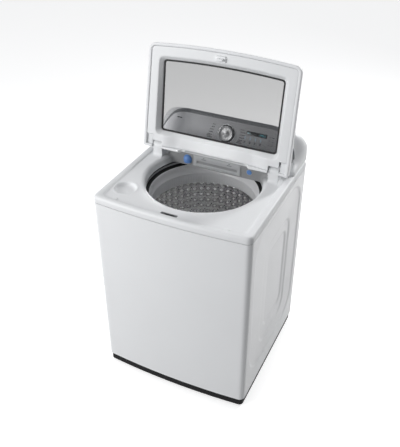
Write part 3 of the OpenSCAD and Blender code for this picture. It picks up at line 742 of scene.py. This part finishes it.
def console():
    rings = []
    for d, dy in ((14, 0.0), (5, 0.0), (2.8, 0.4), (1.1, 1.4), (0.3, 3.0), (0.0, 5.0)):
        rings.append([(x, front_y(z) + dy, z) for x, z in console_outline(d, 0)])
    start = [min(y, 266) for x, y, z in rings[-1]]
    for t in (0.12, 0.3, 0.5, 0.75, 1.0):
        rings.append([under_roof(x, lerp(y0, 300, t), z)
                      for (x, z), y0 in zip(console_outline(0, math.sin(math.pi / 2 * t)), start)])
    for y, d in ((313, 0), (325, 0.3), (332, 1.2), (336, 2.6), (338.4, 4.6), (338.8, 6), (322.6, 6),
                 (319.4, 6), (319.4, 26)):
        rings.append([under_roof(x, y, z) for x, z in console_outline(d, 1)])
    n = len(rings[0])
    verts, faces = loft(rings, closed=False)
    for i in range(n // 2 - 1):
        faces.append((i, i + 1, n - 2 - i, n - 1 - i))
    ob = piece("console_shell", verts, faces, plastic, "cabinet", angle=40)
    ob.data.materials.append(trim_dark)
    for face in ob.data.polygons:
        c = face.center
        behind = c.y * 1000 - FACE_Y - (c.z * 1000 - LEDGE_Z) * math.tan(LEAN)
        if abs(behind) < 4.5 and c.z > 0.985 and face.normal.y < 0:
            face.material_index = 1
    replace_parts(ob, "console_housing")


console()


def fascia_plate(name, outline, low, high, bevel, mat):
    """Plate on the leaning face with a rounded edge; outline is (u, v) in mm."""
    rows = [raise_ring(outline, low), raise_ring(outline, high - bevel)]
    for i in (1, 2, 3):
        a = math.pi / 2 * i / 3
        inner = inset_line(outline, bevel * (1 - math.cos(a)), True)
        rows.append(raise_ring(inner, high - bevel + bevel * math.sin(a)))
    return piece(name, *solid(rows), mat, "cabinet", angle=50, place=FASCIA)


fascia_half = [(311, 5), (312.5, 15), (311.5, 27), (309, 38), (303, 52), (293, 68.5), (283, 85), (274, 99),
               (266, 108), (256, 115.5), (241, 122), (222, 127), (200, 129)]
fascia_edge = fascia_half + [(-x, v) for x, v in fascia_half[::-1]]
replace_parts(fascia_plate("fascia_panel", fascia_edge, 0.1, 2.0, 0.8, fascia_metal), "console_fascia")
screen = [(136 + x, 94 + v) for x, v in rrect(94, 17, 2.4)]
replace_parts(fascia_plate("display_screen", screen, 2.05, 2.9, 0.5, display_black), "display_window")


def flat_marks(name, shapes, level, mat):
    """Thin printed marks: each shape is a list of (u, v)."""
    parts = [solid([raise_ring(s, level - 0.12), raise_ring(s, level)]) for s in shapes]
    return piece(name, *merged(parts), mat, "cabinet", place=FASCIA)


def words(u, v, length, align, height=3.4):
    """A line of small bars, as greeked words, that starts or ends at u."""
    bars, x = [], 0.0
    while x < length - 2:
        w = min(rng.uniform(4.5, 9), length - x)
        bars.append((x, w))
        x += w + 1.6
    total = bars[-1][0] + bars[-1][1]
    shift = u if align == "left" else u - total
    return [rrect(w, height, 0.5, 2, shift + x0 + w / 2, v) for x0, w in bars]


marks = []
for k in range(6):
    v = lerp(102, 44, k / 5)
    marks += words(lerp(-58, -70, k / 5) if k < 5 else -66, v, (14, 12, 17, 20, 22, 24)[k], "right")
    marks += words((60, 62, 62, 60, 56, 50)[k], v, (18, 22, 20, 24, 22, 24)[k], "left")
marks += words(-74, 50, 18, "right") + words(54, 50, 16, "left")
for k in range(4):
    marks += words(82 + 24 * k, 57, 10, "left", 2.8) + words(82 + 24 * k, 51.6, 8, "left", 2.8)
for u, v, length in ((193, 94, 8), (206, 94, 9), (192, 78, 7), (206, 76, 10), (192, 60, 8), (206, 60, 9),
                     (226, 60, 8)):
    marks += words(u, v, length, "left", 3)
marks += [rrect(3.2, 3.2, 1.5, 3, u, v) for u, v in ((196, 84), (210, 84), (196, 67), (210, 67))]
flat_marks("fascia_print", marks, 2.15, print_grey)
flat_marks("name_bar", [rrect(24, 4.4, 1.2, 3, -233, 101)], 2.3, print_grey)

SEGMENTS = {"1": "bc", "3": "abgcd", "4": "fgbc", "5": "afgcd"}


def digit(char, u, v, h):
    """Seven-segment digit with its centre at u, v."""
    w, t = h * 0.5, h * 0.13
    places = {"a": (0, h / 2, w, t), "g": (0, 0, w, t), "d": (0, -h / 2, w, t),
              "f": (-w / 2, h / 4, t, h / 2), "b": (w / 2, h / 4, t, h / 2), "c": (w / 2, -h / 4, t, h / 2)}
    return [rrect(places[s][2] * 0.86, places[s][3] * 0.86, min(places[s][2:]) * 0.3, 2,
                  u + places[s][0], v + places[s][1]) for s in SEGMENTS[char]]


lights = digit("4", 158, 94, 9) + digit("5", 165.5, 94, 9) + digit("1", 149, 94, 9)
lights += [rrect(1.1, 1.1, 0.4, 2, 153.4, v) for v in (92, 96)]
lights += digit("3", 96, 94, 7) + [rrect(4, 1, 0.4, 2, 104, 96), rrect(6, 1, 0.4, 2, 105, 92.4)]
lights += [rrect(3.2, 1, 0.4, 2, 174, v) for v in (91, 94, 97)]
flat_marks("display_digits", lights, 3.05, teal_light)

dial_place = FASCIA @ Matrix.Translation((0, DIAL_V * 0.001, 0))
bezel = [(36.6, 2.1), (36.6, 5.4), (37.2, 6.6), (38.2, 7.0), (39.4, 6.7), (40.6, 5.2), (41, 3.4), (41, 2.1)]
ob = piece("dial_ring", *lathe(bezel + bezel[:1]), chrome, "cabinet", angle=50, place=dial_place)
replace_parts(ob, "dial_bezel")
tray = [(0, 2.4), (36.5, 2.4), (36.5, 3.0), (0, 3.0)]
piece("dial_tray", *lathe(tray, 64), base_black, "cabinet", place=dial_place)


def knob():
    def ridge(k, i):
        return -0.35 if 3 <= k <= 5 and i % 3 == 0 else 0.0

    profile = [(0, 5), (34.2, 5), (35, 5.8), (34.6, 9), (33.2, 15), (32.2, 18.6), (31.4, 20.2), (30.4, 20.8),
               (29.8, 20.8), (29.2, 20.5), (16, 21.1), (0.4, 21.7), (0, 21.7)]
    ob = piece("knob_body", *loft(ribbed(profile, 180, ridge)), knob_side, "knob", angle=40, place=dial_place)
    ob.data.materials.append(knob_metal)
    ob.data.materials.append(chrome)
    for face in ob.data.polygons:
        r = math.hypot(face.center.x, face.center.y) * 1000
        if face.normal.z > 0.5 and r < 29:
            face.material_index = 1
        elif face.center.z > 0.0184:
            face.material_index = 2
    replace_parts(ob, "selector_knob")
    mark = [raise_ring(rrect(1.6, 9, 0.7, 3, 0, 22), z) for z in (20.4, 21.2)]
    piece("knob_pointer", *solid(mark), print_grey, "knob", place=dial_place)


knob()


def spun_highlight():
    """Painted highlight: light and dark sectors round the knob face, the reflection that fine turning marks
    give, painted into its colour.
    """
    tree = knob_metal.node_tree
    bsdf = tree.nodes["Principled BSDF"]
    source = bsdf.inputs["Base Color"].links[0].from_socket
    where = add(tree, "ShaderNodeTexCoord")
    sweep = add(tree, "ShaderNodeTexGradient", gradient_type="RADIAL")
    turns = add(tree, "ShaderNodeMath", operation="MULTIPLY_ADD")
    # two painted highlight sectors to a turn, and where the first one lies
    turns.inputs[1].default_value = 4 * math.pi
    turns.inputs[2].default_value = 2.2
    wave = add(tree, "ShaderNodeMath", operation="COSINE")
    link(where.outputs["Object"], sweep, "Vector")
    link(sweep.outputs["Fac"], turns, 0)
    link(turns.outputs["Value"], wave, 0)
    level = remap(tree, wave.outputs["Value"], (-1, 1), (0.42, 1.0))
    link(darken(tree, source, level), bsdf, "Base Color")


spun_highlight()

# ---------- drawer, nozzle, button ----------


DRAWER_LOW, DRAWER_HIGH = 893.9, 943.4


def drawer_y(z):
    """Where the sloping front of the drawer is at a height."""
    return 124.2 + (z - DRAWER_LOW) * 0.075


def drawer_front():
    """Front of the drawer with a long grip; painted shade darkens the grip's inside."""
    grip_top, grip_bottom = 920.5, 904.5
    xs = [-111.2, -110.4, -108, -100, -96, -92, -88] + [lerp(-80, 80, i / 10) for i in range(11)]
    xs += [88, 92, 96, 100, 108, 110.4, 111.2]
    zs = [DRAWER_HIGH, 942.8, 941, 936, 930, 924, 920, 918, 917, 916, 914, 911, 908.5, 907.4, 906.6, 905.6,
          904, 901, 898, 896, 894.6, DRAWER_LOW]
    rings = []
    for z in zs:
        ring = []
        top_roll = max(0.0, (z - 940) / 3.4) ** 2 * 2.6
        low_roll = max(0.0, (897 - z) / 3.2) ** 2 * 2.2
        front = drawer_y(z) + top_roll + low_roll
        for x in xs:
            edge = max(0.0, (abs(x) - 109.6) / 1.6) ** 2 * 1.4
            window = smooth((98 - abs(x)) / 9)
            dip = smooth((grip_top - z) / 1.6) * smooth((z - grip_bottom + 3.2) / 5.2) * 6.2 * window
            lip = 1.5 * window * math.exp(-((z - 901.5) / 2.0) ** 2)
            ring.append((x, front + edge + dip - lip, z))
        rings.append(ring)
    rear = [[(x, 132.9, z) for x in xs] for z in (DRAWER_LOW, DRAWER_HIGH)]
    verts, faces = loft(rings + rear, closed=False, loop=True)
    count, n = len(rings) + 2, len(xs)
    faces.append(tuple(k * n for k in range(count)))
    faces.append(tuple(k * n + n - 1 for k in range(count))[::-1])
    ob = piece("drawer_handle", verts, faces, grey_plastic, "drawer", angle=50)
    ob.data.materials.append(grip_painted_shade)
    # Faces deep in the grip take the painted shade.
    for face in ob.data.polygons:
        c = face.center
        if c.y * 1000 > drawer_y(c.z * 1000) + 2.6 and 0.9055 < c.z < 0.922 and abs(c.x) < 0.1:
            face.material_index = 1
    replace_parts(ob, "drawer_front")
    shapes = []
    for x in (-62, 58):
        shapes += [(x + dx, 936.5 + dz, w, h) for dx, dz, w, h in
                   ((0, 0, 6, 1.5), (-2, 2.2, 1.5, 3), (2, 2.2, 1.5, 3), (0, -5.4, 22, 1.7))]
    parts = []
    for x, z, w, h in shapes:
        y = drawer_y(z)
        parts.append(block(x - w / 2, x + w / 2, y - 0.12, y + 0.4, z - h / 2, z + h / 2))
    piece("drawer_icons", *merged(parts), print_grey, "drawer")


drawer_front()


def nozzle():
    """Blue dome with a flat lip and a spray slot below."""
    x0, y0, z0 = -140, 130.2, 918
    top, low, wide = 21.0, 13.5, 19.5
    steps = 32
    rings = []
    for j in range(15):
        z = lerp(top, -low, j / 14)
        if z > 0:
            r = math.sqrt(max(0.0, 1 - (z / top) ** 2)) * wide
        else:
            r = wide - 1.6 * (z / low) ** 2
        angles = [math.pi * i / steps for i in range(steps + 1)]
        rings.append([(x0 - r * math.cos(a), y0 - r * 0.92 * math.sin(a), z0 + z) for a in angles])
    lip = [[(x0 + (x - x0) * k, y0 + (y - y0) * k, z) for x, y, _ in rings[-1]]
           for k, z in ((0.98, 903.4), (0.9, 903.0), (0.84, 903.1), (0.8, 905.5))]
    verts, faces = loft(rings + lip, closed=False)
    n = steps + 1
    total = len(rings) + len(lip)
    faces.append(tuple((total - 1) * n + i for i in range(n)))
    faces.append(tuple(k * n for k in range(total)) + tuple(k * n + n - 1 for k in range(total - 1, -1, -1)))
    ob = piece("nozzle_dome", verts, faces, blue_plastic, "cabinet", angle=50)
    cut(ob, [block(-152, -128, 105, 116.5, 906.2, 909)], 50)
    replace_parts(ob, "water_nozzle")


nozzle()

PRESS = Matrix.Translation((0.150, 0, 0.921)) @ Matrix.Rotation(-math.pi / 2, 4, "X")
cap = [(0, 126.2), (6, 126.3), (9, 126.7), (10.6, 127.6), (11.3, 129), (11.4, 136), (0, 136)]
ob = piece("button_cap", *lathe(cap, 48), blue_plastic, "nozzle_button", angle=50, place=PRESS)
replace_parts(ob, "water_button")
collar = [(11.9, 129.2), (12.3, 128.9), (13.4, 129.0), (14, 129.9), (14, 130.8), (11.9, 130.8)]
piece("button_collar", *lathe(collar + collar[:1], 48), grey_plastic, "cabinet", angle=50, place=PRESS)

# ---------- lid ----------

LID_OPEN = math.radians(101.3)
HINGE = Vector((0, HINGE_Y, HINGE_Z)) * 0.001
LID_POSE = Matrix.Translation(HINGE) @ Matrix.Rotation(-LID_OPEN, 4, "X") @ Matrix.Translation(-HINGE)
RISE = math.radians(2.14)
LID_TOP_Y, LID_TOP_Z = -310, 957
LID_STEPS = (72, 8, 36, 6, 60)


def lid_top(y):
    """World height of the sloping lid top, which rolls down at the front."""
    fall = max(0.0, LID_TOP_Y - y) / 28
    return LID_TOP_Z + (max(y, -338) - LID_TOP_Y) * math.tan(RISE) - 10.5 * fall ** 2


def lid_ring(d):
    """Outline d inside the lid's edge, which widens a little towards the hinge."""
    ring = plan(329 - d, -338 + d, max(30 - d, 8), 120 - d * 0.85, max(6 - d, 2), 3468 - d, LID_STEPS)
    return [(x * (1 + 0.014 * smooth((y + 338) / 458)), y) for x, y in ring]


def window_ring(g):
    """Outline g outside the window."""
    r = 14.0 + g * 0.7
    return plan(265.5 + g, -270 - g, r, 45 + g, r, 3468 + g, LID_STEPS)


def slope_z(y, rise):
    """World height at a rise above the sloping plane of the lid top."""
    return LID_TOP_Z + (y - LID_TOP_Y) * math.tan(RISE) + rise


def on_slope(ring, rise):
    return [(x, y, slope_z(y, rise)) for x, y in ring]


def under_top(ring, drop):
    """The ring at a drop below the lid top."""
    return [(x, y, lid_top(y) - drop) for x, y in ring]


def lid_cutters():
    """Room for the hinge posts, and a pocket and a notch along the middle of the rear edge."""
    boxes = []
    for s in (-1, 1):
        xs = sorted((s * 244.5, s * 292.5))
        boxes.append(block(*xs, 87.5, 200, 900, 1000))
    low = [(-166, 104), (166, 104), (166, 130), (-166, 130)]
    high = [(-150, 104), (150, 104), (150, 130), (-150, 130)]
    boxes.append(solid([raise_ring(low, 928), raise_ring(high, 947.5)]))
    gap = [(-159, 121.5), (-131, 107.5), (131, 107.5), (159, 121.5)]
    boxes.append(solid([raise_ring(gap, 920), raise_ring(gap, 990)]))
    return boxes


def raised(x, y):
    """Rise of the panel's centre towards the hinge, which leaves room for the drawer front."""
    return 14.6 * smooth((240 - abs(x)) / 74) * smooth(y / 30)


def between(outer, inner, t):
    """The ring a part t of the way from outer to inner."""
    return [mix2(a, b, t) for a, b in zip(outer, inner)]


def on_panel(ring, z):
    """The ring at z on the inner panel, with the panel's rise."""
    return [(x, y, z + raised(x, y)) for x, y in ring]


def lid_frames():
    rows = [on_slope(window_ring(g), rise) for g, rise in ((7.9, -2.6), (8, -0.5), (8.6, 0))]
    for t in (0.33, 0.66, 1.0):
        rows.append(under_top(between(window_ring(8.6), lid_ring(13), t), 0))
    for d, drop in ((9, 0.8), (6, 2.4), (3.5, 5), (1.6, 8.6), (0.4, 13)):
        rows.append(under_top(lid_ring(d), drop))
    for d, z in ((0, 938), (0, 934), (0.5, 931.6), (1.8, 930.4), (4, 930), (9.5, 930.1), (11.4, 930.6),
                 (12.6, 932), (13.0, 934.5), (13.0, 938)):
        rows.append(raise_ring(lid_ring(d), z))
    rows += [under_top(lid_ring(13), 7), on_slope(window_ring(12), -4.2)]
    outer = piece("lid_outer_shell", *loft(rows, loop=True), plastic, "lid", angle=50)
    cut(outer, lid_cutters(), 40)
    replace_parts(outer, "lid_outer_frame")

    rows = []
    for d, z in ((13.4, 938), (13.5, 935.2), (14.2, 933.8), (16, 933.1), (20, 932.9)):
        rows.append(on_panel(lid_ring(d), z))
    for t in (0.2, 0.4, 0.6, 0.8):
        rows.append(on_panel(between(lid_ring(20), window_ring(17), t), 932.9))
    for g, z in ((17, 932.9), (14.6, 933.4), (13.2, 934.9)):
        rows.append(on_panel(window_ring(g), z))
    for t in (0.2, 0.45, 0.7, 0.9):
        ring = []
        for (x, y), (x2, y2) in zip(window_ring(13.2), window_ring(0.6)):
            px, py = mix2((x, y), (x2, y2), t)
            ring.append((px, py, lerp(934.9 + raised(x, y), slope_z(py, -10), t)))
        rows.append(ring)
    rows += [on_slope(window_ring(g), rise) for g, rise in ((0.3, -9.3), (0.4, -6.8), (10, -5.2))]
    rows.append(under_top(lid_ring(14.5), 8.5))
    inner = piece("lid_inner_panel", *loft(rows, loop=True), plastic, "lid", angle=50)
    cut(inner, lid_cutters() + [block(s * 316 - 27, s * 316 + 27, 62, 140, 900, 1000) for s in (-1, 1)], 40)
    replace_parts(inner, "lid_inner_frame")

    bead = ((0.1, -5.3), (0.1, -8.4), (-1.2, -9.6), (-3.4, -10.0), (-5.6, -9.6), (-6.9, -8.2), (-7, -5.3))
    rows = [on_slope(window_ring(g), rise) for g, rise in bead]
    seal = piece("window_gasket", *loft(rows, loop=True), rubber, "lid", angle=60)
    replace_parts(seal, "window_seal")
    made = [outer, inner, seal]

    boss = [latch_ring(46 - g, 25 - g, 6 - g / 2, z)
            for g, z in ((0, 934), (0, 929.6), (0.6, 928.2), (2.4, 927.2), (5, 926.8))]
    made.append(piece("latch_boss", *solid(boss), plastic, "lid", angle=50))
    hook = [latch_ring(32 - g, 8.4 - g, 2.6 - g / 2, z, -300)
            for g, z in ((0, 928), (0, 915.5), (0.8, 914), (2.6, 913))]
    strike = piece("latch_strike", *solid(hook), plastic, "lid", angle=50)
    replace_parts(strike, "lid_strike")
    made.append(strike)
    # The strike's slot is a thin black plate: painted shade for its dark inside.
    made.append(piece("latch_eye", *block(-8.5, -3.5, -304.6, -303.9, 918.6, 921.4), hole_painted_shade, "lid"))
    for side, s in (("left", -1), ("right", 1)):
        arm = [(HINGE_Y + 16.6 * math.cos(a), HINGE_Z + 16.6 * math.sin(a)) for a in
               [math.radians(-60 + 10 * i) for i in range(25)]]
        arm += [(66, 957), (66, 941.5), (105, 941.5)]
        rings = [[(s * x, y, z) for y, z in arm] for x in (294.2, 326)]
        ob = piece(f"lid_knuckle_{side}", *solid(rings), plastic, "lid")
        rounded(ob, 2.0, 45)
        made.append(ob)
    for ob in made:
        ob.data.transform(LID_POSE)
        ob.data.update()


lid_frames()

# ---------- tub opening and drum ----------


def rings_of_tub():
    """Tub cover's collar, a black ring of painted shade on it, and the balance ring with a ribbed band and a
    black top of painted shade.
    """
    cover = [(283.6, 868.4), (249, 868.6), (247.2, 869.2), (245.6, 872), (245, 877.5), (245.6, 879),
             (247, 879.2), (248, 878), (248.2, 872.4), (283.6, 871.8)]
    ob = piece("tub_collar", *lathe(cover + cover[:1], 160), tub_plastic, "tub", angle=40)
    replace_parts(ob, "tub_cover")
    # A black ring on the collar, in the gap under the mouth's rim: painted shade.
    gap_shade_ring = [(251.5, 872.4), (251.5, 880.4), (252.4, 881.4), (256, 881.4), (256, 872.4)]
    piece("tub_gap_painted_shade", *lathe(gap_shade_ring + gap_shade_ring[:1], 128), rubber, "tub", angle=40)

    def rib(k, i):
        return -0.9 if k in (18, 19) and i % 4 < 2 else 0.0

    profile = [(231, 764.2), (262, 764.2), (263.8, 766), (263.8, 860), (261, 864), (236, 864), (232.6, 863.2),
               (230.4, 861.2), (229.6, 858), (230.6, 853), (230.2, 838), (228.4, 826), (225.6, 821.6),
               (223.8, 819.6), (223.5, 816.5), (224.6, 813.4), (226.8, 811.6), (227.2, 809), (228.4, 790),
               (229.6, 770), (230, 766)]
    rings = ribbed(profile, 480, rib)
    ob = piece("balance_ring_ribbed", *loft(rings, loop=True), ring_plastic, "basket", angle=40)
    # The ring's top outside the mouth is black: painted shade of the gap under the tub collar.
    ob.data.materials.append(rubber)
    for face in ob.data.polygons:
        if face.center.z > 0.8625 and math.hypot(face.center.x, face.center.y) > 0.2335:
            face.material_index = 1
    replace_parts(ob, "balance_ring")


rings_of_tub()

DRUM_R, DRUM_LOW, DRUM_HIGH = 261.0, 268, 763.8
BUMPS_ROUND, STEPS_A_BUMP = 52, 8
ROW_PITCH = 31.0
BUMP_TOP = 738.0
BUMP_R, BUMP_RISE = 13.0, 6.5
HOLE_R = 2.3


def drum():
    """Basket wall with round bumps in rows, and small holes between them; each hole is a black disc, painted
    shade for its dark inside.
    """
    pitch = 2 * math.pi * DRUM_R / BUMPS_ROUND
    steps = BUMPS_ROUND * STEPS_A_BUMP
    zs = [DRUM_HIGH, 758, 754]
    z = 753.0
    while z > 292:
        zs.append(z)
        z -= ROW_PITCH / 8
    zs += [286, 274, DRUM_LOW]

    def bump(k, i):
        row = round((BUMP_TOP - zs[k]) / ROW_PITCH)
        dz = zs[k] - (BUMP_TOP - row * ROW_PITCH)
        along = i / STEPS_A_BUMP
        du = (along - round(along)) * pitch
        q = (du * du + dz * dz) / BUMP_R ** 2
        return -BUMP_RISE * (1 - q) ** 1.2 if q < 1 and 0 <= row and zs[k] > 296 else 0.0

    rings = ribbed([(DRUM_R, z) for z in zs], steps, bump)
    rings += [[((DRUM_R + 1) * c, (DRUM_R + 1) * s, z) for c, s in circle(steps)]
              for z in (DRUM_LOW, DRUM_HIGH)]
    ob = piece("drum_wall", *loft(rings, loop=True), drum_steel, "basket", angle=60)
    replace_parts(ob, "wash_basket")
    parts = []
    rows = int((BUMP_TOP - 300) / ROW_PITCH)
    for row in range(rows):
        z = BUMP_TOP - (row + 0.5) * ROW_PITCH
        for k in range(BUMPS_ROUND):
            a = 2 * math.pi * (k + 0.5) / BUMPS_ROUND
            if (k + row) % 2:
                continue
            ring = []
            for c, s in circle(8):
                da = HOLE_R * c / DRUM_R
                ring.append((math.cos(a + da), math.sin(a + da), z + HOLE_R * s))
            parts.append(solid([[(x * r, y * r, h) for x, y, h in ring]
                                for r in (DRUM_R - 0.25, DRUM_R + 0.2)]))
    piece("drum_holes", *merged(parts), hole_painted_shade, "basket")


drum()

# ---------- springs and bellows ------------------------------------------


def centre(node):
    """Plan centre of a CAD node, in metres."""
    return [(a + b) / 2 for a, b in zip(*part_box(node))][:2]


def hang_between(ob, node):
    """Bakes the piece's placement into its mesh and hides the CAD node that it stands for."""
    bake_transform(ob)
    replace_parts(ob, node)


def coil_spring(corner):
    node = f"spring_{corner}"
    x, y = [c * 1000 for c in centre(node)]
    turns, per_turn, wire, radius, bottom, top = 9, 28, 2.1, 12.2, 304.6, 395.4
    rings = []
    for i in range(turns * per_turn + 1):
        t = i / (turns * per_turn)
        a = 2 * math.pi * turns * t
        z = lerp(bottom, top, smooth(t) * 0.3 + t * 0.7)
        ring = []
        for c, s in circle(8):
            r = radius + wire * c
            ring.append((x + r * math.cos(a), y + r * math.sin(a), z + wire * s))
        rings.append(ring)
    ob = piece(f"coil_{corner}", *solid(rings), bright_steel, None, angle=60)
    hang_between(ob, node)


for corner in ("front_left", "front_right", "rear_left", "rear_right"):
    coil_spring(corner)

BELLOWS_LOW, BELLOWS_HIGH, FOLDS = 151.2, 216.8, 6
x, y = [c * 1000 for c in centre("drain_bellows")]
skin = [(21.3, BELLOWS_LOW), (21.5, 154)]
for k in range(FOLDS * 8 + 1):
    skin.append((23 - 1.7 * math.cos(2 * math.pi * k / 8), lerp(156, 212, k / (FOLDS * 8))))
skin += [(21.5, 214), (21.3, BELLOWS_HIGH)]
skin += [(r - 2.2, z) for r, z in skin[::-1]]
ob = piece("bellows_folds", *lathe(skin + skin[:1], 64, x, y), rubber, None, angle=60)
hang_between(ob, "drain_bellows")

# ---------- finishes of the CAD nodes that stay ----------

FINISHES = (
    (base_black, "base_frame"),
    (rubber, "foot_front_left foot_front_right foot_rear_left foot_rear_right cord_gland"),
    (paint, "rear_panel console_rear_plate"),
    (galvanised, "rear_access_cover corner_braces bearing_housing basket_hub"),
    (bright_steel, "rear_screws lock_nuts rod_front_left rod_front_right rod_rear_left rod_rear_right "
                   "drive_shaft hinge_pins"),
    (key_blue, "option_keys"),
    (board_green, "control_board"),
    (base_black, "dial_encoder drain_outlet motor_rotor"),
    (trim_dark, "lid_lock"),
    (grey_plastic, "dispenser_housing detergent_drawer drain_pump drain_hose pressure_sensor"),
    (tub_plastic, "outer_tub pulsator"),
    (chrome, "pulsator_cap"),
    (copper, "stator"),
    (red_plastic, "inlet_valve_hot"),
    (blue_plastic, "inlet_valve_cold"),
    (glass, "lid_glass"),
)
for finish, names in FINISHES:
    for name in names.split():
        mesh = nodes[name].data
        mesh.materials.clear()
        mesh.materials.append(finish)
